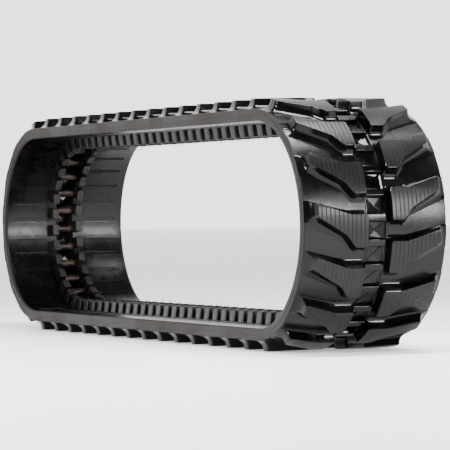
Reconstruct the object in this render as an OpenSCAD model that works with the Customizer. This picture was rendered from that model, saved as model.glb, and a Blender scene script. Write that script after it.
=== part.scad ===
// Endless rubber track for a small excavator, standing free on its lugs.
// X runs along the track, Y across it and Z up, with the origin on the ground
// under the middle. The belt is followed by s, the length along its cords,
// from the middle of the bottom run towards +X. Heights in the belt are z,
// zero on the wheel path and positive towards the inside of the loop.

/* [Loop] */
// Distance between iron cores, along the cords
pitch = 52.5; // [42:0.5:66]
// Links in each straight run
run_links = 28; // [20:1:40]
// Links around each end
end_links = 15; // [13:1:19]
// Share of one link by which the belt stands rolled on
roll_share = 0.25; // [0:0.05:0.4]

/* [Belt] */
// Width across the belt
belt_w = 350; // [290:5:450]
// Thickness of the rubber that the wheels run on
path_t = 12; // [10:0.5:16]
// Thickness of the rubber that holds the steel cords
cord_rubber_t = 8; // [6:0.5:12]
// Thickness of the cut guard ply
ply_t = 1.5; // [1:0.25:3]
// Thickness of the ground side rubber under the lugs
base_t = 6.5; // [5:0.5:12]
// Width of solid rubber at each edge of the belt
edge_w = 12; // [8:1:20]
// Bevel along the inside edges
edge_bevel = 6; // [2:0.5:10]
// Width of the groove between two wheel pads
pad_groove_w = 5; // [3:0.5:8]
// Depth of the groove between two wheel pads
pad_groove_depth = 2; // [1:0.5:3]

/* [Tread] */
// Height of a lug above the belt
lug_h = 25; // [15:1:35]
// Length of the leading flank of a lug along the belt
lug_lead = 9; // [4:1:12]
// Length of the trailing flank of a lug along the belt
lug_trail = 14; // [6:1:16]
// Width of the sloping outer end of a lug
lug_end_slope = 20; // [10:1:26]

/* [Guide horns] */
// Height of a horn above the wheel path
horn_h = 28; // [18:1:36]
// Width of a horn across the belt, at its root
horn_w = 24; // [18:1:30]
// How far the left horns stand ahead of the middle of their link, and the
// right horns behind it
horn_stagger = 6; // [0:0.5:8]
// How much the outer side of a horn leans in
horn_lean = 5; // [1:0.5:7]

/* [Drive windows and iron cores] */
// Width of the drive windows across the belt
window_w = 48; // [38:1:60]
// Diameter of the drive bar of an iron core
bar_d = 20; // [16:0.5:22]
// Share of a link taken by the rubber over a drive bar
bar_cover_share = 0.38; // [0.32:0.01:0.44]
// How far the rubber over a drive bar stands out of the belt
bar_cover_rise = 7; // [0:0.5:8]
// Thickness of the rubber that closes a drive window
membrane_t = 3; // [2:0.5:4]
// Length of each wing of an iron core
wing_l = 92; // [60:1:100]
// Share of a link taken by the width of a wing
wing_share = 0.5; // [0.35:0.01:0.55]
// Thickness of a wing
wing_t = 7.5; // [5:0.5:9]

/* [Steel cords] */
// Diameter of a steel cord
cord_d = 4; // [2.5:0.1:5]
// Cords on each side of the drive windows
side_cords = 10; // [6:1:12]

/* [Fits] */
// Gap at the cords where one stretch of the belt bends against the next
seam_gap = 0.8; // [0.6:0.1:1.5]
// Free bend left on each side of a seam, beyond what one link needs, in degrees
seam_spare = 1; // [0.5:0.25:3]
// Room between the end of a horn and its neighbour link
horn_room = 0.5; // [0.3:0.1:2]
// Room between a wing and the cord rubber
wing_room = 0.5; // [0.4:0.1:1.5]

/* [Hidden] */

RUBBER = "#1d1c1b";
EDGE_RUBBER = "#2c2825";
INNER_RUBBER = "#242120";
IRON = "#5a4136";
STEEL = "#9a9b9c";
PLY = "#6b6255";

half_w = belt_w / 2;
half_links = run_links + end_links;
run_half = run_links * pitch / 2;
cord_z = -(path_t + cord_rubber_t / 2);
cord_r = end_links * pitch / PI;
path_r = cord_r + cord_z;
ply_z = -(path_t + cord_rubber_t);
base_z = ply_z - ply_t;
belt_z = base_z - base_t;
ground_z = belt_z - lug_h;
centre_height = path_r - ground_z;

link_angle = 180 / end_links;
flex_angle = (0.5 + roll_share) * link_angle + 2 * seam_spare;
window_half = window_w / 2;
edge_y = half_w - edge_w;
parting_z = (cord_z - path_t) / 2 - 1;

arc_half_link = path_r * tan(link_angle / 2);
seam_at_path = seam_gap / 2 - cord_z * tan(flex_angle / 2);
horn_reach = arc_half_link - seam_at_path - horn_room;
horn_l = 2 * (horn_reach - horn_stagger);
horn_inner_lean = 1.5;
horn_end_lean = 1;
horn_tip_l = horn_l - 2 * horn_end_lean;
// A horn stands proud of the curved wheel path all the way to its ends.
horn_root_rise = pow(horn_reach, 2) / (2 * path_r) + 1;

wing_w = pitch * wing_share;
wing_top_z = -(path_t - wing_room - wing_t);
stub_l = horn_l / 2;
stub_w = horn_w / 2;
stub_h = horn_h * 0.64;
stub_root = 1;

bar_z = -(1 + bar_d / 2);
// Depth of bar left bare below its middle, above the rubber that covers it
bar_bare = 4;
bar_cover_l = pitch * bar_cover_share;
bar_cover_w = window_w - 4;
bar_cover_z = belt_z - bar_cover_rise;
membrane_l = pitch - bar_cover_l;
membrane_z = belt_z + membrane_t + 1;
membrane_dish = 2;

pad_in = window_half + horn_w + 4;
ground_bevel = 2;
cord_break = 0.02;
cord_skin = 0.3;
cord_margin = 2;
cord_step = (edge_y - pad_in) / side_cords;
lug_root = 1;

// How far cutting shapes run past what they cut, and past a seam.
over = 1;
cut_over = 10;
cut_reach = 130;
LOOP = 360;
BAR_FACETS = 48;
CORD_FACETS = 24;

// Seams between the four stretches, counted in windows along the belt.
seam_bottom_rear = -run_links / 2;
seam_bottom_front = run_links / 2;
seam_top_front = seam_bottom_front + end_links;
seam_top_rear = seam_top_front + run_links;

// Each stretch as its first and last seam.
bottom = [seam_bottom_rear, seam_bottom_front];
front = [seam_bottom_front, seam_top_front];
top = [seam_top_front, seam_top_rear];
rear = [seam_top_rear, seam_top_rear + end_links];

// ---- Where things are along the loop ----

function window_s(w) = (w + roll_share) * pitch;
half_loop = half_links * pitch;
front_start = run_half;
front_end = half_loop - run_half;

function turned(p) = [-p[0], p[1], -p[2]];
function half_point(s, y, z) =
    s <= front_start
    ? [s, y, z - path_r]
    : let (a = (s - front_start) / cord_r * 180 / PI)
      [run_half + (path_r - z) * sin(a), y, (z - path_r) * cos(a)];
function loop_point(s, y, z) =
    s < -run_half ? turned(loop_point(s + half_loop, y, z))
    : s < front_end ? half_point(s, y, z)
    : turned(loop_point(s - half_loop, y, z));

// Moves children to a place on the wheel path, with +Z towards the inside.
module at(s) {
    if (s < -run_half) rotate([0, 180, 0]) at(s + half_loop) children();
    else if (s >= front_end) rotate([0, 180, 0]) at(s - half_loop) children();
    else if (s <= front_start) translate([s, 0, -path_r]) children();
    else translate([run_half, 0, 0])
        rotate([0, -(s - front_start) / cord_r * 180 / PI, 0])
        translate([0, 0, -path_r]) children();
}

// Stands the loop on the ground.
module on_ground() translate([0, 0, centre_height]) children();

module straight_sweep(from, to)
    if (to > from)
        translate([from, 0, -path_r]) rotate([90, 0, 90])
            linear_extrude(to - from) children();

module arc_sweep(from, to)
    if (to > from)
        translate([run_half, 0, 0]) rotate([90, 0, 0])
            rotate([0, 0, -90 + (from - front_start) / cord_r * 180 / PI])
            rotate_extrude(angle = (to - from) / cord_r * 180 / PI, $fn = LOOP)
            translate([path_r, 0]) mirror([1, 0]) rotate(-90) children();

// An end drawn whole starts exactly on the straight run before it, so the two
// join cleanly. The seam cut takes off what lies before the stretch.
module half_sweep(from, to) {
    straight_sweep(max(from, -run_half), min(to, front_start)) children();
    if (from < front_end) arc_sweep(front_start, min(to, front_end)) children();
}

// Carries a flat section, drawn as across and z, along the belt.
module sweep(from, to)
    for (turn = [0 : 2])
        rotate([0, 180 * turn, 0])
            half_sweep(from - turn * half_loop, to - turn * half_loop) children();

// The same for cords, whose straight and bent lengths are kept a hair apart.
module cord_sweep(from, to)
    for (turn = [0 : 2])
        rotate([0, 180 * turn, 0]) {
            start = from - turn * half_loop;
            stop = to - turn * half_loop;
            straight_sweep(max(start, -run_half), min(stop, front_start)) children();
            arc_sweep(max(start, front_start + cord_break),
                      min(stop, front_end - cord_break)) children();
        }

// Everything past a seam, leaning away so that the belt can bend there.
// It is upright past the cords, and leans above and below them.
module beyond(side) {
    lean = tan(flex_angle / 2);
    waist = cord_d / 2 + cord_skin;
    high = horn_h;
    low = ground_z - cut_over;
    rotate([90, 0, 0]) linear_extrude(belt_w + 2 * cut_over, center = true)
        polygon([
            [side * cut_reach, high],
            [-side * (seam_gap / 2 + (high - cord_z) * lean), high],
            [-side * seam_gap / 2, cord_z + waist],
            [-side * seam_gap / 2, cord_z - waist],
            [-side * (seam_gap / 2 + (cord_z - low) * lean), low],
            [side * cut_reach, low],
        ]);
}

// Trims children to one stretch, between its two seams.
module trimmed(stretch)
    difference() {
        children();
        at(window_s(stretch[0])) beyond(-1);
        at(window_s(stretch[1])) beyond(1);
    }

// A flat section carried along one stretch and trimmed at its seams.
module layer(stretch)
    trimmed(stretch)
        sweep(window_s(stretch[0]), window_s(stretch[1])) children();

module both_sides() {
    children();
    mirror([1, 0]) children();
}

// ---- Belt layers ----

module wheel_section()
    both_sides() polygon([
        [window_half, 0], [half_w - edge_bevel, 0], [half_w, -edge_bevel],
        [half_w, parting_z], [edge_y, parting_z], [edge_y, -path_t],
        [window_half, -path_t],
    ]);

module cord_centres(side)
    for (i = [0.5 : side_cords])
        translate([side * (edge_y - cord_margin - i * cord_step), cord_z])
            children();

module cord_rubber_section()
    both_sides() difference() {
        translate([window_half, ply_z])
            square([edge_y - window_half, cord_rubber_t]);
        cord_centres(1) circle(d = cord_d, $fn = CORD_FACETS);
    }

module ply_section()
    both_sides() translate([window_half, base_z])
        square([edge_y - window_half, ply_t]);

module base_section()
    both_sides() polygon([
        [window_half, base_z], [edge_y, base_z], [edge_y, parting_z],
        [half_w, parting_z], [half_w, belt_z + ground_bevel],
        [half_w - ground_bevel, belt_z], [window_half, belt_z],
    ]);

module horn_root_pocket(side)
    translate([-side * horn_stagger - horn_l / 2,
               side < 0 ? -window_half - horn_w : window_half - over, wing_top_z])
        cube([horn_l, horn_w + over, horn_root_rise + over - wing_top_z]);

module wing_pocket(side)
    translate([-wing_w / 2,
               side < 0 ? -window_half - wing_l : window_half - over,
               -path_t - over])
        cube([wing_w, wing_l + over, wing_top_z + path_t + over]);

module pad_groove(side)
    translate([-pad_groove_w / 2, side < 0 ? -edge_y : pad_in, -pad_groove_depth])
        cube([pad_groove_w, edge_y - pad_in, pad_groove_depth + 3 * over]);

module wheel_rubber(stretch)
    color(INNER_RUBBER)
        difference() {
            layer(stretch) wheel_section();
            for (w = [stretch[0] : stretch[1] - 1], side = [-1, 1])
                at(window_s(w + 0.5)) {
                    horn_root_pocket(side);
                    wing_pocket(side);
                    horn_stub(side);
                }
            for (w = [stretch[0] + 1 : stretch[1] - 1], side = [-1, 1])
                at(window_s(w)) pad_groove(side);
        }

module cord_rubber(stretch)
    color(INNER_RUBBER) layer(stretch) cord_rubber_section();

module cut_guard_ply(stretch)
    color(PLY) layer(stretch) ply_section();

module base_rubber(stretch)
    color(EDGE_RUBBER) layer(stretch) base_section();

module cords(stretch, side)
    color(STEEL)
        cord_sweep(window_s(stretch[0]) + seam_gap / 2,
                   window_s(stretch[1]) - seam_gap / 2)
            cord_centres(side) circle(d = cord_d, $fn = CORD_FACETS);

// ---- Iron cores and guide horns ----

// A block that tapers from its foot to its tip, both given as
// [along from, along to, across from, across to].
module taper_block(foot, tip, foot_z, tip_z)
    polyhedron(
        points = [for (r = [[foot, foot_z], [tip, tip_z]])
            for (c = [[0, 2], [1, 2], [1, 3], [0, 3]])
                [r[0][c[0]], r[0][c[1]], r[1]]],
        faces = [[0, 1, 2, 3], [7, 6, 5, 4], [0, 4, 5, 1], [1, 5, 6, 2],
                 [2, 6, 7, 3], [3, 7, 4, 0]]);

// The iron inside a horn, rooted a little way into the wing.
module horn_stub(side)
    translate([-side * horn_stagger - stub_l / 2,
               side * (window_half + horn_w / 2 - 1) - stub_w / 2,
               wing_top_z - stub_root])
        cube([stub_l, stub_w, stub_h - wing_top_z + stub_root]);

module iron_core() {
    rotate([90, 0, 0]) translate([0, bar_z, 0])
        cylinder(d = bar_d, h = window_w, center = true, $fn = BAR_FACETS);
    for (side = [-1, 1]) {
        translate([-wing_w / 2, side < 0 ? -window_half - wing_l : window_half,
                   wing_top_z - wing_t])
            cube([wing_w, wing_l, wing_t]);
        horn_stub(side);
    }
}

module iron_cores(stretch)
    color(IRON)
        for (w = [stretch[0] : stretch[1] - 1])
            at(window_s(w + 0.5)) iron_core();

module horn_cover(side)
    difference() {
        union() {
            translate([-side * horn_stagger - horn_l / 2,
                       side * (window_half + horn_w / 2) - horn_w / 2, wing_top_z])
                cube([horn_l, horn_w, horn_root_rise - wing_top_z]);
            mirror([0, side < 0 ? 1 : 0, 0])
                translate([-side * horn_stagger, window_half, 0])
                taper_block([-horn_l / 2, horn_l / 2, 0, horn_w],
                            [-horn_tip_l / 2, horn_tip_l / 2, horn_inner_lean,
                             horn_w - horn_lean],
                            horn_root_rise, horn_h);
        }
        horn_stub(side);
    }

module horn_covers(stretch)
    color(RUBBER)
        for (w = [stretch[0] : stretch[1] - 1], side = [-1, 1])
            at(window_s(w + 0.5)) horn_cover(side);

// ---- Centre column, seen from the ground side ----

module bar_cover()
    difference() {
        translate([-bar_cover_l / 2, -bar_cover_w / 2, bar_cover_z])
            cube([bar_cover_l, bar_cover_w, bar_z - bar_cover_z - bar_bare]);
        rotate([90, 0, 0]) translate([0, bar_z, 0])
            cylinder(d = bar_d, h = window_w + 2 * over, center = true,
                     $fn = BAR_FACETS);
    }

module bar_covers(stretch)
    color(RUBBER)
        for (w = [stretch[0] : stretch[1] - 1])
            at(window_s(w + 0.5)) bar_cover();

// A plate with its ground side dished as four facets that meet in the middle.
module membrane() {
    x = membrane_l / 2;
    y = window_half;
    low = membrane_z - membrane_t;
    polyhedron(
        points = [[-x, -y, low], [x, -y, low], [x, y, low], [-x, y, low],
                  [-x, -y, membrane_z], [x, -y, membrane_z], [x, y, membrane_z],
                  [-x, y, membrane_z], [0, 0, low + membrane_dish]],
        faces = [[0, 1, 8], [1, 2, 8], [2, 3, 8], [3, 0, 8], [7, 6, 5, 4],
                 [0, 4, 5, 1], [1, 5, 6, 2], [2, 6, 7, 3], [3, 7, 4, 0]]);
}

module window_membranes(stretch)
    color(RUBBER) trimmed(stretch)
        for (w = [stretch[0] : stretch[1]]) at(window_s(w)) membrane();

// ---- Tread lugs ----
// A lug is a block beside the window with an arm that sweeps out and on.
// Its outline is kept as two edges, inner and outer, against the length
// along the belt from its window.

lug_back = -0.62 * pitch;
lug_bend = -0.17 * pitch;
lug_arm = 0.52 * pitch;
lug_front = 0.62 * pitch;
lug_tip = 1.05 * pitch;
lug_in = window_half + 5;
lug_margin = 2;
lug_out = half_w - lug_end_slope - lug_margin - 1;
lug_step = 0.6;
lug_reach = lug_out - lug_in;
lug_tip_w = 3;

function inner_edge(t, grow) =
    lookup(t, [[lug_front, lug_in - grow],
               [lug_front + lug_step, lug_in + 0.36 * lug_reach],
               [lug_tip, lug_out - lug_tip_w]]);
function outer_edge(t, end) =
    lookup(t, [[lug_back, lug_in + 0.25 * lug_reach],
               [lug_bend, lug_in + 0.42 * lug_reach],
               [lug_arm, end], [lug_tip, end]]);
function inner_foot(t) =
    lookup(t, [[lug_back, lug_back - lug_trail],
               [lug_front, lug_front + lug_lead],
               [lug_tip, lug_tip + lug_lead]]);
function outer_foot(t) =
    lookup(t, [[lug_back, lug_back - lug_trail], [lug_arm, lug_arm - lug_trail],
               [lug_tip, lug_tip + lug_lead]]);

lug_stations = [lug_back, lug_bend, 0.2 * pitch, lug_arm, lug_front,
                lug_front + lug_step, 0.84 * pitch, lug_tip];

// Four corners of one station: foot inner, foot outer, top outer, top inner.
function lug_ring(s, t, side) = [
    loop_point(s + inner_foot(t), side * inner_edge(t, lug_margin),
               belt_z + lug_root),
    loop_point(s + outer_foot(t), side * outer_edge(t, half_w - lug_margin),
               belt_z + lug_root),
    loop_point(s + t, side * outer_edge(t, lug_out), ground_z),
    loop_point(s + t, side * inner_edge(t, 0), ground_z),
];

function flipped(faces, flip) =
    flip ? [for (f = faces) [for (i = [len(f) - 1 : -1 : 0]) f[i]]] : faces;

module lug(s, side) {
    n = len(lug_stations);
    points = [for (t = lug_stations) each lug_ring(s, t, side)];
    walls = [for (j = [0 : n - 2], k = [0 : 3])
        let (a = 4 * j + k, b = 4 * j + (k + 1) % 4)
        each [[a, b, b + 4], [a, b + 4, a + 4]]];
    ends = [[0, 3, 2], [0, 2, 1],
            [4 * n - 4, 4 * n - 3, 4 * n - 2], [4 * n - 4, 4 * n - 2, 4 * n - 1]];
    polyhedron(points = points, faces = flipped(concat(walls, ends), side < 0));
}

// The left lugs stand at the odd windows and the right lugs at the even ones.
module lugs(stretch, side)
    color(RUBBER) trimmed(stretch)
        difference() {
            for (w = [stretch[0] : stretch[1]])
                if ((w + 2 * half_links) % 2 == (side < 0 ? 1 : 0))
                    lug(window_s(w), side);
            sweep(window_s(stretch[0]), window_s(stretch[1]))
                translate([-half_w, belt_z]) square([belt_w, 2 * lug_root]);
        }

// ---- The twelve pieces of each of the four stretches ----

on_ground() wheel_rubber(bottom);  // bottom_wheel_rubber
on_ground() horn_covers(bottom);  // bottom_horn_covers
on_ground() iron_cores(bottom);  // bottom_iron_cores
on_ground() cords(bottom, -1);  // bottom_left_cords
on_ground() cords(bottom, 1);  // bottom_right_cords
on_ground() cord_rubber(bottom);  // bottom_cord_rubber
on_ground() cut_guard_ply(bottom);  // bottom_cut_guard_ply
on_ground() base_rubber(bottom);  // bottom_base_rubber
on_ground() lugs(bottom, -1);  // bottom_left_lugs
on_ground() lugs(bottom, 1);  // bottom_right_lugs
on_ground() bar_covers(bottom);  // bottom_bar_covers
on_ground() window_membranes(bottom);  // bottom_window_membranes

on_ground() wheel_rubber(front);  // front_wheel_rubber
on_ground() horn_covers(front);  // front_horn_covers
on_ground() iron_cores(front);  // front_iron_cores
on_ground() cords(front, -1);  // front_left_cords
on_ground() cords(front, 1);  // front_right_cords
on_ground() cord_rubber(front);  // front_cord_rubber
on_ground() cut_guard_ply(front);  // front_cut_guard_ply
on_ground() base_rubber(front);  // front_base_rubber
on_ground() lugs(front, -1);  // front_left_lugs
on_ground() lugs(front, 1);  // front_right_lugs
on_ground() bar_covers(front);  // front_bar_covers
on_ground() window_membranes(front);  // front_window_membranes

on_ground() wheel_rubber(top);  // top_wheel_rubber
on_ground() horn_covers(top);  // top_horn_covers
on_ground() iron_cores(top);  // top_iron_cores
on_ground() cords(top, -1);  // top_left_cords
on_ground() cords(top, 1);  // top_right_cords
on_ground() cord_rubber(top);  // top_cord_rubber
on_ground() cut_guard_ply(top);  // top_cut_guard_ply
on_ground() base_rubber(top);  // top_base_rubber
on_ground() lugs(top, -1);  // top_left_lugs
on_ground() lugs(top, 1);  // top_right_lugs
on_ground() bar_covers(top);  // top_bar_covers
on_ground() window_membranes(top);  // top_window_membranes

on_ground() wheel_rubber(rear);  // rear_wheel_rubber
on_ground() horn_covers(rear);  // rear_horn_covers
on_ground() iron_cores(rear);  // rear_iron_cores
on_ground() cords(rear, -1);  // rear_left_cords
on_ground() cords(rear, 1);  // rear_right_cords
on_ground() cord_rubber(rear);  // rear_cord_rubber
on_ground() cut_guard_ply(rear);  // rear_cut_guard_ply
on_ground() base_rubber(rear);  // rear_base_rubber
on_ground() lugs(rear, -1);  // rear_left_lugs
on_ground() lugs(rear, 1);  // rear_right_lugs
on_ground() bar_covers(rear);  // rear_bar_covers
on_ground() window_membranes(rear);  // rear_window_membranes
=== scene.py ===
"""Rubber track: a small excavator's endless belt, dressed over its rigid frame.

Every piece is made flat on the bench first, with X along the belt, Y across it
and Z up to the wheel side, zero on the wheel path. It is then laid round the
loop, link by link.
"""
import math
import random

import bpy
import numpy as np
from mathutils import Matrix, Vector


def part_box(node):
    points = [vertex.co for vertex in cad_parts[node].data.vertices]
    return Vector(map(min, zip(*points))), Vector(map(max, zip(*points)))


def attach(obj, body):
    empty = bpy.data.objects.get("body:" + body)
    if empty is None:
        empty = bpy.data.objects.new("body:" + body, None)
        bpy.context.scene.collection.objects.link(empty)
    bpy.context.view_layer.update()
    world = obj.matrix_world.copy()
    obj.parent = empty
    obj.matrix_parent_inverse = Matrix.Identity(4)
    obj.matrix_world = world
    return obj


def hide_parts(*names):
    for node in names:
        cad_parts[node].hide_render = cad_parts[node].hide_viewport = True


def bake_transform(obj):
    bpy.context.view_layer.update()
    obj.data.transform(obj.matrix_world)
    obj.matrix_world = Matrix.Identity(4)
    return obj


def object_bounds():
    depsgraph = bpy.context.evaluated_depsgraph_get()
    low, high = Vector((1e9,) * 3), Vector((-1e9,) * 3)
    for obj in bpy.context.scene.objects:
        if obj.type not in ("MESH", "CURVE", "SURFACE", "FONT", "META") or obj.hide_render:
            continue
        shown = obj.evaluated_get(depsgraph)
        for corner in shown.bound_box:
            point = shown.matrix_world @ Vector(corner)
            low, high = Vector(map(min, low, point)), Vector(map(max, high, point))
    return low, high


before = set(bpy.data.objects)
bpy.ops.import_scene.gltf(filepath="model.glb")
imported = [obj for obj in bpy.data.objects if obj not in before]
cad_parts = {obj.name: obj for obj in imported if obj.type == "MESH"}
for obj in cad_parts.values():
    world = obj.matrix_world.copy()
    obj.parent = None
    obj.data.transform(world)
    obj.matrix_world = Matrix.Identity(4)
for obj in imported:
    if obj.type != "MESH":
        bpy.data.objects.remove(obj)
cad_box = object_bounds()

# ---------------------------------------------------------------- the belt

PITCH = 0.0525
RUN_LINKS = 28
END_LINKS = 15
HALF_LINKS = RUN_LINKS + END_LINKS
ROLLED_ON = 0.25
HALF_LOOP = HALF_LINKS * PITCH
RUN_HALF = RUN_LINKS * PITCH / 2
CORD_DEPTH = 0.016
CORD_R = END_LINKS * PITCH / math.pi
PATH_R = CORD_R - CORD_DEPTH
HALF_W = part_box("bottom_base_rubber")[1][1]
LOOP_Z = (cad_box[0][2] + cad_box[1][2]) / 2

BELT_T = 0.028
BELT_EDGE = HALF_W - 0.0064
BAR_RISE = 0.007
LUG_TOP = -0.053
WINDOW_HALF = 0.024
HORN_H = 0.028
HORN_STAGGER = 0.006

# two places on the bench count as one within this
CLOSE = 1e-5

# body, name of its nodes, first seam and last seam, counted in windows
STRETCHES = [
    ("bottom_run", "bottom", -14, 14),
    ("front_end", "front", 14, 29),
    ("top_run", "top", 29, 57),
    ("rear_end", "rear", 57, 72),
]
# seam window, the bodies before and after it, and its name
HINGED_SEAMS = [
    (14, "bottom_run", "front_end", "front_bottom"),
    (57, "top_run", "rear_end", "rear_top"),
    (72, "rear_end", "bottom_run", "rear_bottom"),
]
OPEN_SEAM = 29


def window_s(w):
    return (w + ROLLED_ON) * PITCH


def loop_points(s, y, z):
    """Places on the loop, for arrays of length along the cords, across and up."""
    s = (np.asarray(s, float) + RUN_HALF) % (2 * HALF_LOOP) - RUN_HALF
    far = s >= HALF_LOOP - RUN_HALF
    s = np.where(far, s - HALF_LOOP, s)
    angle = np.maximum(s - RUN_HALF, 0) / CORD_R
    x = np.minimum(s, RUN_HALF) + (PATH_R - z) * np.sin(angle)
    up = (z - PATH_R) * np.cos(angle)
    turn = np.where(far, -1, 1)
    return np.stack([x * turn, y, up * turn + LOOP_Z], axis=-1)


def rigid_points(s, local):
    """Places of bench points carried whole to one spot on the loop."""
    here = loop_points([s, s, s], np.zeros(3), np.array([0, 0.1, 0]))
    up = (here[1] - here[0]) / 0.1
    along = np.cross([0, 1, 0], up)
    return here[0] + local[:, :1] * along + local[:, 1:2] * [0, 1, 0] + local[:, 2:] * up


# ---------------------------------------------------------------- bench work

def clear_choice():
    if bpy.context.object and bpy.context.object.mode != "OBJECT":
        bpy.ops.object.mode_set(mode="OBJECT")
    bpy.ops.object.select_all(action="DESELECT")


def start_block(name, low, high):
    """A block between two corners, in edit mode."""
    clear_choice()
    middle = [(a + b) / 2 for a, b in zip(low, high)]
    bpy.ops.mesh.primitive_cube_add(size=1, location=middle)
    block = bpy.context.object
    block.name = name
    block.scale = [b - a for a, b in zip(low, high)]
    bpy.ops.object.transform_apply(location=True, rotation=True, scale=True)
    bpy.ops.object.mode_set(mode="EDIT")
    return block


def choose_faces(piece, test):
    bpy.ops.mesh.select_mode(type="FACE")
    bpy.ops.mesh.select_all(action="DESELECT")
    bpy.ops.object.mode_set(mode="OBJECT")
    for face in piece.data.polygons:
        face.select = bool(test(face.center, face.normal))
    bpy.ops.object.mode_set(mode="EDIT")


def choose_edges(piece, test):
    bpy.ops.mesh.select_mode(type="EDGE")
    bpy.ops.mesh.select_all(action="DESELECT")
    bpy.ops.object.mode_set(mode="OBJECT")
    points = piece.data.vertices
    for edge in piece.data.edges:
        edge.select = bool(test(*(points[i].co for i in edge.vertices)))
    bpy.ops.object.mode_set(mode="EDIT")


def choose_points(piece, test):
    bpy.ops.mesh.select_mode(type="VERT")
    bpy.ops.mesh.select_all(action="DESELECT")
    bpy.ops.object.mode_set(mode="OBJECT")
    for point in piece.data.vertices:
        point.select = bool(test(point.co))
    bpy.ops.object.mode_set(mode="EDIT")


def cut(place, normal):
    bpy.ops.mesh.select_all(action="SELECT")
    bpy.ops.mesh.bisect(plane_co=place, plane_no=normal)


def cut_across(lengths):
    for x in lengths:
        cut((x, 0, 0), (1, 0, 0))


def cut_along(widths):
    for y in widths:
        cut((0, y, 0), (0, 1, 0))


def cut_level(heights):
    for z in heights:
        cut((0, 0, z), (0, 0, 1))


def push(offset):
    bpy.ops.transform.translate(value=offset)


def pull_out(offset):
    bpy.ops.mesh.extrude_region_move(TRANSFORM_OT_translate={"value": offset})


def drop_faces(piece, test):
    choose_faces(piece, test)
    bpy.ops.mesh.delete(type="FACE")


def round_over(width, steps=3):
    bpy.ops.mesh.bevel(offset=width, segments=steps, affect="EDGES",
                       clamp_overlap=True)


def finish_bench(piece):
    bpy.ops.mesh.select_all(action="SELECT")
    bpy.ops.mesh.remove_doubles(threshold=1e-6)
    bpy.ops.mesh.normals_make_consistent(inside=False)
    bpy.ops.object.mode_set(mode="OBJECT")
    return piece


def own_copy(piece, name):
    twin = piece.copy()
    twin.data = piece.data.copy()
    twin.name = name
    bpy.context.collection.objects.link(twin)
    return twin


def coordinates(piece):
    flat = np.empty(len(piece.data.vertices) * 3)
    piece.data.vertices.foreach_get("co", flat)
    return flat.reshape(-1, 3)


def set_coordinates(piece, places):
    piece.data.vertices.foreach_set("co", np.ascontiguousarray(places, float).ravel())
    piece.data.update()


def other_side(piece, name):
    """The same piece made for the other side of the belt."""
    twin = own_copy(piece, name)
    set_coordinates(twin, coordinates(twin) * [1, -1, 1])
    clear_choice()
    twin.select_set(True)
    bpy.context.view_layer.objects.active = twin
    bpy.ops.object.mode_set(mode="EDIT")
    bpy.ops.mesh.select_all(action="SELECT")
    bpy.ops.mesh.flip_normals()
    bpy.ops.object.mode_set(mode="OBJECT")
    return twin


def join(parts, name):
    clear_choice()
    for part in parts:
        part.select_set(True)
    bpy.context.view_layer.objects.active = parts[0]
    if len(parts) > 1:
        bpy.ops.object.join()
    whole = bpy.context.object
    whole.name = name
    whole.data.name = name
    return whole


def keep_bench_places(piece):
    """Remembers each point's place on the bench, for the patterns in materials."""
    store = piece.data.attributes.new("bench", "FLOAT_VECTOR", "POINT")
    store.data.foreach_set("vector", coordinates(piece).astype(np.float32).ravel())


def lay(master, name, stations, bends=True, weld=False):
    """Copies of a bench piece laid round the loop and joined as one piece."""
    copies = []
    for s in stations:
        twin = own_copy(master, name)
        flat = coordinates(twin)
        if bends:
            places = loop_points(s + flat[:, 0], flat[:, 1], flat[:, 2])
        else:
            places = rigid_points(s, flat)
        set_coordinates(twin, places)
        copies.append(twin)
    whole = join(copies, name)
    if weld:
        bpy.ops.object.mode_set(mode="EDIT")
        bpy.ops.mesh.select_all(action="SELECT")
        bpy.ops.mesh.remove_doubles(threshold=2e-5)
        bpy.ops.object.mode_set(mode="OBJECT")
    return crisp(whole)


def smooth(piece, degrees=40):
    clear_choice()
    piece.select_set(True)
    bpy.context.view_layer.objects.active = piece
    bpy.ops.object.shade_smooth_by_angle(angle=math.radians(degrees))


def crisp(piece, degrees=40):
    """Flat faces stay flat and only the rounded edges between them are soft."""
    smooth(piece, degrees)
    piece.modifiers.new("even_faces", "WEIGHTED_NORMAL").keep_sharp = True
    bpy.ops.object.modifier_apply(modifier="even_faces")
    return piece


def dress(piece, *finishes):
    piece.data.materials.clear()
    for finish in finishes:
        piece.data.materials.append(finish)
    return piece


# ---------------------------------------------------------------- materials

class Value:
    """A node's output, for sums written as plain expressions."""

    def __init__(self, tree, socket):
        self.tree = tree
        self.socket = socket

    def math(self, operation, *others):
        values = {0: self}
        values.update({i + 1: other for i, other in enumerate(others)})
        return make(self.tree, "ShaderNodeMath", {"operation": operation}, values)

    def __add__(self, other):
        return self.math("ADD", other)

    def __mul__(self, other):
        return self.math("MULTIPLY", other)

    __rmul__ = __mul__

    def __sub__(self, other):
        return self.math("SUBTRACT", other)

    def __rsub__(self, other):
        return make(self.tree, "ShaderNodeMath", {"operation": "SUBTRACT"},
                    {0: other, 1: self})

    def __radd__(self, other):
        return self.math("ADD", other)

    def __gt__(self, other):
        return self.math("GREATER_THAN", other)

    def __lt__(self, other):
        return self.math("LESS_THAN", other)

    def between(self, low, high):
        """0 below low, 1 above high, and a smooth rise between."""
        return make(self.tree, "ShaderNodeMapRange",
                    {"interpolation_type": "SMOOTHSTEP"},
                    {"Value": self, "From Min": low, "From Max": high})


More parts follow.
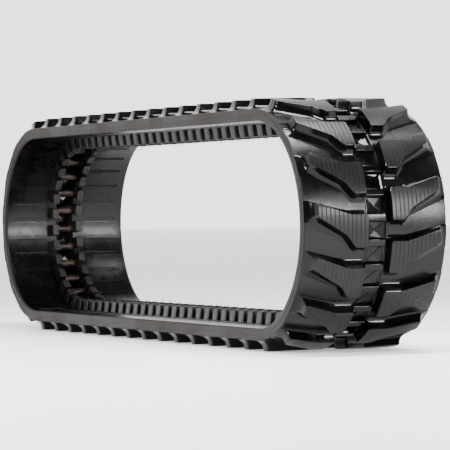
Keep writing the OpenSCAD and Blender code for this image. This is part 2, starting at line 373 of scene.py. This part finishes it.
def make(tree, kind, settings=None, values=None, output=0):
    """Any node: its settings first, then the values or links of its sockets."""
    node = tree.nodes.new(kind)
    for key, setting in (settings or {}).items():
        if key == "stops":
            ramp = node.color_ramp
            while len(ramp.elements) < len(setting):
                ramp.elements.new(0.5)
            for element, (place, colour) in zip(ramp.elements, setting):
                element.position = place
                element.color = (*colour, 1)
        else:
            setattr(node, key, setting)
    for key, value in (values or {}).items():
        if isinstance(value, Value):
            tree.links.new(value.socket, node.inputs[key])
        else:
            node.inputs[key].default_value = value
    return Value(tree, node.outputs[output])


class Finish:
    """One material, with its places and its shader ready to feed."""

    def __init__(self, name, **constants):
        self.material = bpy.data.materials.new(name)
        self.material.use_nodes = True
        self.tree = self.material.node_tree
        self.shader = self.tree.nodes["Principled BSDF"]
        for key, value in constants.items():
            self.shader.inputs[key.replace("_", " ")].default_value = value
        self.place = make(self.tree, "ShaderNodeTexCoord", output=3)
        self.bench = make(self.tree, "ShaderNodeAttribute",
                          {"attribute_name": "bench"}, output=1)

    def parts(self, vector):
        split = make(self.tree, "ShaderNodeSeparateXYZ", values={0: vector})
        return [Value(self.tree, out) for out in split.socket.node.outputs]

    def noise(self, scale, detail=4, rough=0.55, place=None, stretch=None):
        place = place or self.place
        if stretch:
            place = make(self.tree, "ShaderNodeMapping",
                         values={"Vector": place, "Scale": stretch})
        return make(self.tree, "ShaderNodeTexNoise",
                    values={"Vector": place, "Scale": scale, "Detail": detail,
                            "Roughness": rough})

    def ramp(self, factor, *stops):
        return make(self.tree, "ShaderNodeValToRGB", {"stops": stops},
                    {"Fac": factor})

    def mix(self, factor, a, b):
        """Two colours; a and b are links or plain colours."""
        values = {0: factor}
        for key, colour in ((6, a), (7, b)):
            values[key] = colour if isinstance(colour, Value) else (*colour, 1)
        return make(self.tree, "ShaderNodeMix",
                    {"data_type": "RGBA", "blend_type": "MIX"}, values, output=2)

    def colour(self, value):
        self.feed("Base Color", value)

    def feed(self, socket, value):
        self.tree.links.new(value.socket, self.shader.inputs[socket])

    def bump(self, height, distance, strength=1.0):
        bump = make(self.tree, "ShaderNodeBump",
                    values={"Height": height, "Distance": distance,
                            "Strength": strength})
        self.feed("Normal", bump)


def moulded_rubber(name, dark, light, gloss, dull, dust=0.25, grain=0.00025,
                   shine=0.2):
    """Black moulded rubber: bloom in soft patches, rubbed spots and fine grain."""
    finish = Finish(name, IOR=1.5, Specular_IOR_Level=shine)
    bloom = finish.noise(9, 5, 0.6)
    patches = bloom.between(0.42, 0.68)
    specks = finish.noise(260, 3, 0.7)
    grit = specks.between(0.6, 0.75) * dust
    base = finish.mix(patches, dark, light)
    finish.colour(finish.mix(grit, base, [c * 1.8 + 0.01 for c in light]))
    patchiness = finish.noise(38, 4, 0.6)
    finish.feed("Roughness",
                patches * (dull - gloss) * 0.6 + patchiness * (dull - gloss) * 0.8
                + gloss + grit * 0.25)
    finish.bump(finish.noise(900, 3, 0.6) * 0.5 + finish.noise(40, 2) * 0.4, grain)
    return finish.material


def tread_rubber():
    """Glossy moulded rubber. A lug's top has fine grooves along the belt, and is painted
    lighter as a painted sheen.
    """
    finish = Finish("tread_rubber", IOR=1.5, Specular_IOR_Level=0.19)
    x, y, z = finish.parts(finish.bench)
    over = z < LUG_TOP + 0.0005
    outer = y.math("ABSOLUTE").between(HALF_W - 0.021, HALF_W - 0.017)
    ribs = x.math("PINGPONG", 0.0036).between(0.0006, 0.003) * outer
    groove = (y.math("ABSOLUTE") + 0.003).math("PINGPONG", 0.0052)
    groove = (1 - groove.between(0.0004, 0.0011)) * over
    bloom = finish.noise(9, 5, 0.6).between(0.42, 0.68)
    patchiness = finish.noise(38, 4, 0.6)
    specks = finish.noise(260, 3, 0.7).between(0.6, 0.75)
    base = finish.mix(bloom, (0.0012, 0.0011, 0.0011), (0.0030, 0.0027, 0.0025))
    # Painted sheen: the lug tops are painted lighter, in patches, for the light they
    # reflect.
    base = finish.mix(over * (0.4 + patchiness), base, (0.0065, 0.0057, 0.0053))
    base = finish.mix(specks * 0.12, base, (0.03, 0.027, 0.025))
    # Painted shade: the grooves on the lug tops are only bumps, and are painted dark as if
    # shade lay in them.
    finish.colour(finish.mix(groove, base, (0.0015, 0.0015, 0.0015)))
    finish.feed("Roughness", bloom * 0.07 + patchiness * 0.08 + over * 0.17 + 0.1
                + groove * 0.2)
    finish.bump(finish.noise(900, 3, 0.6) * 0.05 + finish.noise(24, 2) * 0.06
                - groove * 0.9 + ribs * 0.11, 0.0009)
    return finish.material


def belt_rubber():
    return moulded_rubber("belt_rubber", (0.0018, 0.0017, 0.0016),
                          (0.0045, 0.0038, 0.0034), 0.15, 0.34, dust=0.15)


def edge_rubber():
    """The belt's cut edge: browner and duller, with faint upright streaks."""
    finish = Finish("edge_rubber", IOR=1.5, Specular_IOR_Level=0.16)
    streaks = finish.noise(30, 4, 0.6, stretch=(6, 0.4, 0.4))
    smears = finish.noise(7, 4, 0.55).between(0.4, 0.7)
    base = finish.mix(smears, (0.006, 0.0046, 0.0039), (0.017, 0.0128, 0.0108))
    finish.colour(finish.mix(streaks.between(0.55, 0.8) * 0.5, base,
                             (0.034, 0.0262, 0.0225)))
    finish.feed("Roughness", smears * 0.18 + streaks * 0.2 + 0.34)
    finish.bump(streaks * 0.6 + finish.noise(500, 3) * 0.4, 0.0004)
    return finish.material


def horn_rubber():
    """Guide horn rubber, painted lighter on the tips as a painted highlight, broken up by
    scuff marks.
    """
    finish = Finish("horn_rubber", IOR=1.5, Specular_IOR_Level=0.25)
    z = finish.parts(finish.bench)[2]
    tip = z.between(HORN_H - 0.004, HORN_H - 0.0005)
    smears = finish.noise(60, 5, 0.6)
    scuffs = finish.noise(170, 4, 0.65).between(0.45, 0.7)
    base = finish.mix(smears.between(0.4, 0.7), (0.003, 0.0027, 0.0025),
                      (0.010, 0.0088, 0.008))
    # Painted highlight: the flat tips are painted lighter, patchy with scuff marks.
    finish.colour(finish.mix(tip * (0.25 + scuffs * 0.5), base,
                             (0.045, 0.040, 0.037)))
    finish.feed("Roughness", smears * 0.2 + tip * 0.15 + 0.22)
    finish.bump(smears * 0.5 + scuffs * tip * 0.5, 0.0006)
    return finish.material


def core_iron():
    """Forged iron, browned by rust in patches."""
    finish = Finish("core_iron", IOR=1.6)
    rust = finish.noise(45, 6, 0.65).between(0.38, 0.62)
    spots = finish.noise(210, 4, 0.7).between(0.5, 0.7)
    base = finish.mix(rust, (0.02, 0.016, 0.0145), (0.045, 0.021, 0.0145))
    finish.colour(finish.mix(spots * 0.5, base, (0.085, 0.04, 0.027)))
    finish.feed("Metallic", (1 - rust) * 0.8)
    finish.feed("Roughness", rust * 0.25 + spots * 0.15 + 0.35)
    finish.bump(rust * 0.4 + spots * 0.6, 0.0005)
    return finish.material


def cord_steel():
    finish = Finish("cord_steel", Metallic=1.0)
    lay_lines = finish.noise(700, 2, stretch=(1, 4, 1))
    finish.colour(finish.ramp(lay_lines, (0.3, (0.28, 0.27, 0.25)),
                              (0.7, (0.55, 0.54, 0.5))))
    finish.feed("Roughness", lay_lines * 0.2 + 0.3)
    finish.bump(lay_lines, 0.0003)
    return finish.material


def ply_fabric():
    finish = Finish("ply_fabric", Roughness=0.9)
    weave = finish.noise(900, 2, stretch=(1, 3, 1))
    finish.colour(finish.ramp(weave, (0.3, (0.1, 0.085, 0.06)),
                              (0.7, (0.24, 0.2, 0.15))))
    finish.bump(weave, 0.0004)
    return finish.material


TREAD = tread_rubber()
BELT = belt_rubber()
EDGE = edge_rubber()
HORN = horn_rubber()
IRON = core_iron()
CORD = cord_steel()
PLY = ply_fabric()


def dress_frame_nodes():
    """Gives every node of the frame its finish, those inside the belt too."""
    finishes = {
        "wheel_rubber": BELT, "horn_covers": HORN, "iron_cores": IRON,
        "left_cords": CORD, "right_cords": CORD, "cord_rubber": BELT,
        "cut_guard_ply": PLY, "base_rubber": EDGE, "left_lugs": TREAD,
        "right_lugs": TREAD, "bar_covers": TREAD, "window_membranes": TREAD,
    }
    for name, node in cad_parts.items():
        kind = name.split("_", 1)[1]
        for slot in range(max(1, len(node.material_slots))):
            if node.material_slots:
                node.material_slots[slot].material = finishes[kind]
            else:
                node.data.materials.append(finishes[kind])


# ---------------------------------------------------------------- belt strip

WALL_Y = WINDOW_HALF - 0.0004
PAD_IN = 0.0530
PAD_OUT = 0.150
PANEL_OUT = 0.094


def belt_cell():
    """One link's length of both belt strips, from core to core over a window."""
    half = PITCH / 2
    rib, groove, shoulder = 0.0009, 0.0042, 0.0095
    strip = start_block("belt_strip", (-half, WALL_Y, -BELT_T), (half, HALF_W, 0))
    drop_faces(strip, lambda c, n: abs(n.x) > 0.9)
    cut_along([PAD_IN, PAD_IN + 0.004, PANEL_OUT, PAD_OUT])
    cut_across([-0.018, -shoulder, -groove, -rib, rib, groove, shoulder, 0.018])
    choose_faces(strip, lambda c, n: n.z > 0.9 and rib < abs(c.x) < groove
                 and PAD_IN < c.y < PAD_OUT)
    pull_out((0, 0, -0.0022))
    choose_faces(strip, lambda c, n: n.z > 0.9 and abs(c.z) < CLOSE
                 and abs(c.x) > shoulder and PAD_IN + 0.004 < c.y < PANEL_OUT)
    pull_out((0, 0, 0.0011))
    drop_faces(strip, lambda c, n: abs(n.x) > 0.9 and abs(c.x) > half - CLOSE)
    choose_edges(strip, lambda a, b: min(a.z, b.z) > -CLOSE
                 and abs(a.y - b.y) > 0.02 and abs(abs(a.x) - groove) < CLOSE
                 and min(a.y, b.y) > PAD_IN - CLOSE and max(a.y, b.y) < PAD_OUT + CLOSE)
    round_over(0.0012, 2)
    choose_edges(strip, lambda a, b: abs(a.y - HALF_W) < CLOSE
                 and abs(b.y - HALF_W) < CLOSE and min(a.z, b.z) > -CLOSE)
    round_over(0.0062, 3)
    choose_edges(strip, lambda a, b: abs(a.y - HALF_W) < CLOSE
                 and abs(b.y - HALF_W) < CLOSE and max(a.z, b.z) < -BELT_T + CLOSE)
    round_over(0.003, 2)
    choose_edges(strip, lambda a, b: abs(a.y - WALL_Y) < CLOSE
                 and abs(b.y - WALL_Y) < CLOSE and abs(a.z - b.z) < CLOSE)
    round_over(0.0022, 2)
    parting, flash_half, flash_out = -0.0165, 0.0009, 0.0008
    cut_level([parting - flash_half, parting, parting + flash_half])
    choose_points(strip, lambda p: abs(p.z - parting) < CLOSE
                  and p.y > HALF_W - 1e-4)
    push((0, flash_out, 0))
    finish_bench(strip)
    return join([strip, other_side(strip, "belt_strip_left")], "belt_cell")


# ---------------------------------------------------------------- tread lug

LUG_IN = WINDOW_HALF + 0.005
LUG_OUT = HALF_W - 0.023
LUG_REACH = LUG_OUT - LUG_IN
LUG_LEAD = 0.009
LUG_TRAIL = 0.014
LUG_END = 0.020
# corners of a right hand lug's top, and how far each runs out at its foot
LUG_CORNERS = [
    ((-0.62 * PITCH, LUG_IN), (-LUG_TRAIL, -0.002)),
    ((0.62 * PITCH, LUG_IN), (LUG_LEAD, -0.002)),
    ((0.62 * PITCH, LUG_IN + 0.36 * LUG_REACH), (LUG_LEAD, 0)),
    ((1.05 * PITCH, LUG_OUT), (LUG_LEAD, LUG_END)),
    ((0.52 * PITCH, LUG_OUT), (-LUG_TRAIL, LUG_END)),
    ((-0.17 * PITCH, LUG_IN + 0.42 * LUG_REACH), (-LUG_TRAIL, 0)),
    ((-0.62 * PITCH, LUG_IN + 0.25 * LUG_REACH), (-LUG_TRAIL, 0)),
]
# share of that run, and drop from the top, at each ring of a flank
LUG_RINGS = [(0.10, 0.0105), (0.24, 0.0165), (0.47, 0.0210), (0.76, 0.0237),
             (1.10, 0.0250), (1.16, 0.0256)]


def start_outline(name, corners, height):
    """A flat face with its corners moved to their places, in edit mode."""
    clear_choice()
    bpy.ops.mesh.primitive_circle_add(vertices=len(corners), radius=0.05,
                                      fill_type="NGON", location=(0, 0, height))
    outline = bpy.context.object
    outline.name = name
    bpy.ops.object.transform_apply(location=True, rotation=True, scale=True)
    bpy.ops.object.mode_set(mode="EDIT")
    starts = [tuple(p.co) for p in outline.data.vertices]
    turn = len(corners) - 1 if starts[1][0] < starts[-1][0] else 0
    for start, corner in zip(starts, corners[turn:] + corners[:turn]):
        choose_points(outline, lambda p: (p - type(p)(start)).length < 1e-6)
        push((corner[0] - start[0], corner[1] - start[1], 0))
    return outline


def lug_bench():
    """A right hand lug: flat top, swept arm, and flanks that flare at the foot."""
    lug = start_outline("lug", [place for place, run in LUG_CORNERS], LUG_TOP)
    share, drop = 0, 0
    for next_share, next_drop in LUG_RINGS:
        choose_faces(lug, lambda c, n: abs(c.z - LUG_TOP - drop) < CLOSE)
        pull_out((0, 0, next_drop - drop))
        for place, run in LUG_CORNERS:
            x, y = place[0] + run[0] * share, place[1] + run[1] * share
            choose_points(lug, lambda p: abs(p.x - x) + abs(p.y - y) < CLOSE
                          and abs(p.z - LUG_TOP - next_drop) < CLOSE)
            step = next_share - share
            push((run[0] * step, run[1] * step, 0))
        share, drop = next_share, next_drop
    drop_faces(lug, lambda c, n: abs(c.z - LUG_TOP - drop) < CLOSE)
    choose_edges(lug, lambda a, b: abs(a.z - b.z) > 1e-4)
    round_over(0.0045, 2)
    choose_edges(lug, lambda a, b: max(a.z, b.z) < LUG_TOP + CLOSE)
    round_over(0.0013, 1)
    cut_across([share * PITCH for share in (-0.4, -0.17, 0.1, 0.35, 0.6, 0.84)])
    finish_bench(lug)
    keep_bench_places(lug)
    return lug


# ---------------------------------------------------------------- centre column

def horn_bench():
    """The right hand horn of a link: a rounded block that tapers to a flat tip."""
    length, width, lean, inner = 0.0324, 0.024, 0.005, 0.0015
    low = -0.0015
    horn = start_block("horn", (-length / 2, WINDOW_HALF, low),
                       (length / 2, WINDOW_HALF + width, HORN_H))
    choose_points(horn, lambda p: p.z > 0.01 and p.y > WINDOW_HALF + 0.01)
    push((0, -lean, 0))
    choose_points(horn, lambda p: p.z > 0.01 and p.y < WINDOW_HALF + 0.01)
    push((0, inner, 0))
    for side in (-1, 1):
        choose_points(horn, lambda p: p.z > 0.01 and p.x * side > 0)
        push((-side * 0.001, 0, 0))
    drop_faces(horn, lambda c, n: n.z < -0.9)
    choose_edges(horn, lambda a, b: abs(a.z - b.z) > 0.01)
    round_over(0.0045, 2)
    choose_edges(horn, lambda a, b: min(a.z, b.z) > HORN_H - CLOSE)
    round_over(0.0018, 1)
    finish_bench(horn)
    keep_bench_places(horn)
    return horn


def bar_cover_bench():
    """Rubber over a drive bar, seen from the ground side as a flat worn rib."""
    half_l, half_w = 0.0100, 0.0234
    low, high = -BELT_T - BAR_RISE, -0.016
    cover = start_block("bar_cover", (-half_l, -half_w, low), (half_l, half_w, high))
    drop_faces(cover, lambda c, n: n.z > 0.9)
    cut_level([-BELT_T + 0.0015])
    for side in (-1, 1):
        choose_points(cover, lambda p: p.z < low + CLOSE and p.x * side > 0)
        push((-side * 0.0022, 0, 0))
    choose_edges(cover, lambda a, b: max(a.z, b.z) < low + CLOSE)
    round_over(0.0022, 3)
    finish_bench(cover)
    keep_bench_places(cover)
    return cover


def membrane_bench():
    """The skin that closes a drive window: an X of four folds between gutters."""
    bar_w = 0.0199
    half_l, half_w, fold_w = (PITCH - bar_w) / 2, WINDOW_HALF, 0.0185
    gutter_end = half_w - 0.0035
    low, high = -0.0262, -0.0232
    middle_sunk, gutter_sunk, ridge_w = 0.0062, 0.0034, 0.0011
    skin = start_block("membrane", (-half_l, -half_w, low), (half_l, half_w, high))
    drop_faces(skin, lambda c, n: abs(n.z) < 0.9)
    cut_along([-gutter_end, -fold_w, fold_w, gutter_end])
    for side in (-1, 1):
        choose_faces(skin, lambda c, n: abs(c.y) < fold_w)
        bpy.ops.mesh.bisect(plane_co=(0, 0, 0), plane_no=(fold_w, side * half_l, 0))
    choose_points(skin, lambda p: abs(p.x) + abs(p.y) < CLOSE)
    push((0, 0, middle_sunk))
    choose_faces(skin, lambda c, n: c.z < -0.025 and fold_w < abs(c.y) < gutter_end)
    push((0, 0, gutter_sunk))
    diagonal = math.hypot(half_l, fold_w)

    def off_ridge(p):
        return min(abs(p.x * fold_w - p.y * half_l),
                   abs(p.x * fold_w + p.y * half_l)) / diagonal

    choose_edges(skin, lambda a, b: off_ridge(a) < CLOSE and off_ridge(b) < CLOSE
                 and (a - b).length > 0.01)
    round_over(0.0013, 2)
    choose_faces(skin, lambda c, n: off_ridge(c) < ridge_w and abs(c.y) < fold_w)
    bpy.ops.mesh.inset(thickness=0.0002, depth=ridge_w)
    finish_bench(skin)
    keep_bench_places(skin)
    return skin


def whisker_bench(dice):
    """A moulding hair left on a horn's tip."""
    clear_choice()
    length = dice.uniform(0.008, 0.021)
    bpy.ops.mesh.primitive_cone_add(vertices=3, radius1=0.0009, radius2=0.0004,
                                    depth=length, end_fill_type="NOTHING",
                                    location=(0, 0, length / 2))
    hair = bpy.context.object
    bpy.ops.object.transform_apply(location=True, rotation=True, scale=True)
    bpy.ops.object.mode_set(mode="EDIT")
    cut_level([length * 0.35, length * 0.7])
    lean = (dice.uniform(-0.5, 0.5) * length, dice.uniform(-0.3, 0.3) * length)
    for height, share in ((0.7, 0.45), (1.0, 1.0)):
        choose_points(hair, lambda p: abs(p.z - height * length) < CLOSE)
        push((lean[0] * share, lean[1] * share, 0))
    finish_bench(hair)
    return hair


# ---------------------------------------------------------------- laying up

def clipped(master, name, x, keep):
    """The part of a bench piece before (keep -1) or after (keep 1) a place."""
    piece = own_copy(master, name)
    clear_choice()
    piece.select_set(True)
    bpy.context.view_layer.objects.active = piece
    bpy.ops.object.mode_set(mode="EDIT")
    bpy.ops.mesh.select_all(action="SELECT")
    bpy.ops.mesh.bisect(plane_co=(x, 0, 0), plane_no=(1, 0, 0), use_fill=True,
                        clear_outer=keep < 0, clear_inner=keep > 0)
    bpy.ops.object.mode_set(mode="OBJECT")
    return piece


def seam_ends(w):
    """The middles of the iron cores on each side of a seam, at the cords."""
    return [tuple(float(c) for c in loop_points(window_s(w) + side * PITCH / 2, 0,
                                                -CORD_DEPTH))
            for side in (-1, 1)]


def across_seam(piece, seam):
    w, before, after = seam[:3]
    start, end = seam_ends(w)
    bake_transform(piece)
    return piece


def drop(*masters):
    for master in masters:
        bpy.data.objects.remove(master, do_unlink=True)


def lay_belt():
    cell = belt_cell()
    for finish in (BELT, EDGE):
        cell.data.materials.append(finish)
    bpy.ops.object.mode_set(mode="EDIT")
    choose_faces(cell, lambda c, n: abs(c.y) > BELT_EDGE)
    cell.active_material_index = 1
    bpy.ops.object.material_slot_assign()
    bpy.ops.object.mode_set(mode="OBJECT")
    for body, name, first, last in STRETCHES:
        stations = [window_s(w) for w in range(first + 1, last)]
        belt = lay(cell, name + "_belt", stations, weld=True)
        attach(belt, body)
        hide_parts(name + "_wheel_rubber", name + "_base_rubber")
    for seam in HINGED_SEAMS:
        bend = lay(cell, seam[3] + "_bend_belt", [window_s(seam[0])])
        across_seam(bend, seam)
    for keep, body, name in ((-1, "front_end", "front_top"),
                             (1, "top_run", "top_front")):
        half = clipped(cell, name, 0, keep)
        bend = lay(half, name + "_bend_belt", [window_s(OPEN_SEAM)])
        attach(bend, body)
        drop(half)
    drop(cell)


def lay_lugs():
    right = dress(lug_bench(), TREAD)
    left = other_side(right, "left_lug")
    keep_bench_places(left)
    seams = {seam[0]: seam for seam in HINGED_SEAMS}
    for master, word, odd in ((right, "right", 0), (left, "left", 1)):
        for body, name, first, last in STRETCHES:
            whole = [w for w in range(first + 1, last)
                     if w % 2 == odd and w != last - 1]
            lugs = lay(master, name + "_" + word + "_treads",
                       [window_s(w) for w in whole])
            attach(lugs, body)
            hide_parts(name + "_" + word + "_lugs")
        for w, seam in seams.items():
            near = w if w % 2 == odd else w - 1
            bend = lay(master, seam[3] + "_bend_" + word + "_tread",
                       [window_s(near)])
            across_seam(bend, seam)
        near = OPEN_SEAM if OPEN_SEAM % 2 == odd else OPEN_SEAM - 1
        x = window_s(OPEN_SEAM) - window_s(near)
        cuts = [(-1, "front_end", "front_top")]
        if near == OPEN_SEAM:
            cuts.append((1, "top_run", "top_front"))
        for keep, body, name in cuts:
            part = clipped(master, name, x, keep)
            bend = lay(part, name + "_bend_" + word + "_tread", [window_s(near)])
            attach(bend, body)
            drop(part)
    drop(right, left)


def lay_centre():
    horn = dress(horn_bench(), HORN)
    far_horn = other_side(horn, "left_horn")
    cover = dress(bar_cover_bench(), TREAD)
    skin = dress(membrane_bench(), TREAD)
    for body, name, first, last in STRETCHES:
        cores = [window_s(w + 0.5) for w in range(first, last)]
        right = lay(horn, "right_horns", [s - HORN_STAGGER for s in cores], False)
        left = lay(far_horn, "left_horns", [s + HORN_STAGGER for s in cores], False)
        horns = join([right, left], name + "_horns")
        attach(horns, body)
        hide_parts(name + "_horn_covers")
        covers = lay(cover, name + "_bar_rubber", cores, False)
        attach(covers, body)
        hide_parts(name + "_bar_covers")
        skins = lay(skin, name + "_window_skins",
                    [window_s(w) for w in range(first + 1, last)])
        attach(skins, body)
        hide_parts(name + "_window_membranes")
    for seam in HINGED_SEAMS:
        bend = lay(skin, seam[3] + "_bend_skin", [window_s(seam[0])])
        across_seam(bend, seam)
    for keep, body, name in ((-1, "front_end", "front_top"),
                             (1, "top_run", "top_front")):
        half = clipped(skin, name, 0, keep)
        bend = lay(half, name + "_bend_skin", [window_s(OPEN_SEAM)])
        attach(bend, body)
        drop(half)
    drop(horn, far_horn, cover, skin)


def lay_whiskers():
    dice = random.Random(7)
    hairs = [dress(whisker_bench(dice), HORN) for _ in range(8)]
    for body, name, first, last in STRETCHES:
        grown = []
        for w in range(first, last):
            for side in (-1, 1):
                if dice.random() > 0.72:
                    continue
                hair = own_copy(dice.choice(hairs), "hair")
                y = side * (WINDOW_HALF + dice.uniform(0.006, 0.014))
                x = -side * HORN_STAGGER + dice.uniform(-0.011, 0.011)
                flat = coordinates(hair) + [x, y, HORN_H - 0.0012]
                set_coordinates(hair, rigid_points(window_s(w + 0.5), flat))
                grown.append(hair)
        whiskers = join(grown, name + "_moulding_hairs")
        smooth(whiskers, 60)
        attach(whiskers, body)
    drop(*hairs)


# ---------------------------------------------------------------- the studio

def area_light(name, place, target, size, power):
    lamp = bpy.data.lights.new(name, "AREA")
    lamp.shape = "RECTANGLE"
    lamp.size, lamp.size_y = size
    lamp.energy = power
    light = bpy.data.objects.new(name, lamp)
    bpy.context.collection.objects.link(light)
    light.location = place
    way = Vector(target) - Vector(place)
    light.rotation_euler = way.to_track_quat("-Z", "Y").to_euler()


def set_camera():
    yaw, pitch, roll = 2.7298, -0.0032, -0.0118
    stand = (6.63113, -2.82790, 0.32129)
    side, focal, centre = 450, 2858.15, (223.16, 219.34)
    ahead = np.array([math.cos(pitch) * math.cos(yaw),
                      math.cos(pitch) * math.sin(yaw), math.sin(pitch)])
    right = np.cross(ahead, [0, 0, 1])
    right /= np.linalg.norm(right)
    up = np.cross(right, ahead)
    tilted_right = math.cos(roll) * right + math.sin(roll) * up
    tilted_up = math.cos(roll) * up - math.sin(roll) * right
    lens = bpy.data.cameras.new("camera")
    lens.sensor_width = 36
    lens.lens = focal / side * lens.sensor_width
    lens.shift_x = (side / 2 - centre[0]) / side
    lens.shift_y = (centre[1] - side / 2) / side
    lens.clip_end = 200
    camera = bpy.data.objects.new("camera", lens)
    bpy.context.collection.objects.link(camera)
    rows = np.eye(4)
    rows[:3, 0], rows[:3, 1], rows[:3, 2] = tilted_right, tilted_up, -ahead
    rows[:3, 3] = stand
    camera.matrix_world = Matrix(rows.tolist())
    bpy.context.scene.camera = camera


def glow(name, strength):
    """A plain white that gives off a little light of its own."""
    material = bpy.data.materials.new(name)
    material.use_nodes = True
    shader = material.node_tree.nodes["Principled BSDF"]
    shader.inputs["Base Color"].default_value = (0.9, 0.9, 0.9, 1)
    shader.inputs["Emission Color"].default_value = (1, 1, 1, 1)
    shader.inputs["Emission Strength"].default_value = strength
    return material


def set_studio():
    clear_choice()
    bpy.ops.mesh.primitive_plane_add(size=110, location=(0, 0, cad_box[0][2] - 0.0005))
    floor = bpy.context.object
    floor.name = "floor"
    floor.data.materials.append(glow("floor_white", 0.42))
    bpy.ops.mesh.primitive_cylinder_add(vertices=64, radius=45, depth=50,
                                        end_fill_type="NOTHING", location=(0, 0, 24.9))
    wall = bpy.context.object
    wall.name = "backdrop"
    bpy.ops.object.mode_set(mode="EDIT")
    drop_faces(wall, lambda c, n: c.x * 0.9 - c.y * 0.45 > 6)
    bpy.ops.object.mode_set(mode="OBJECT")
    wall.data.materials.append(glow("backdrop_white", 1.5))
    world = bpy.data.worlds.new("studio")
    world.use_nodes = True
    world.node_tree.nodes["Background"].inputs["Color"].default_value = (1, 1, 1, 1)
    world.node_tree.nodes["Background"].inputs["Strength"].default_value = 0.15
    bpy.context.scene.world = world
    area_light("overhead", (0.9, 0.1, 3.0), (0.3, 0, 0.3), (2.0, 0.7), 260)
    area_light("near_side", (2.6, -3.2, 2.4), (0.5, 0, 0.3), (1.0, 0.7), 260)
    area_light("near_end", (5.2, 2.1, 1.35), (0.95, 0, 0.3), (0.8, 0.9), 230)


set_camera()
set_studio()
dress_frame_nodes()
lay_belt()
lay_lugs()
lay_centre()
lay_whiskers()
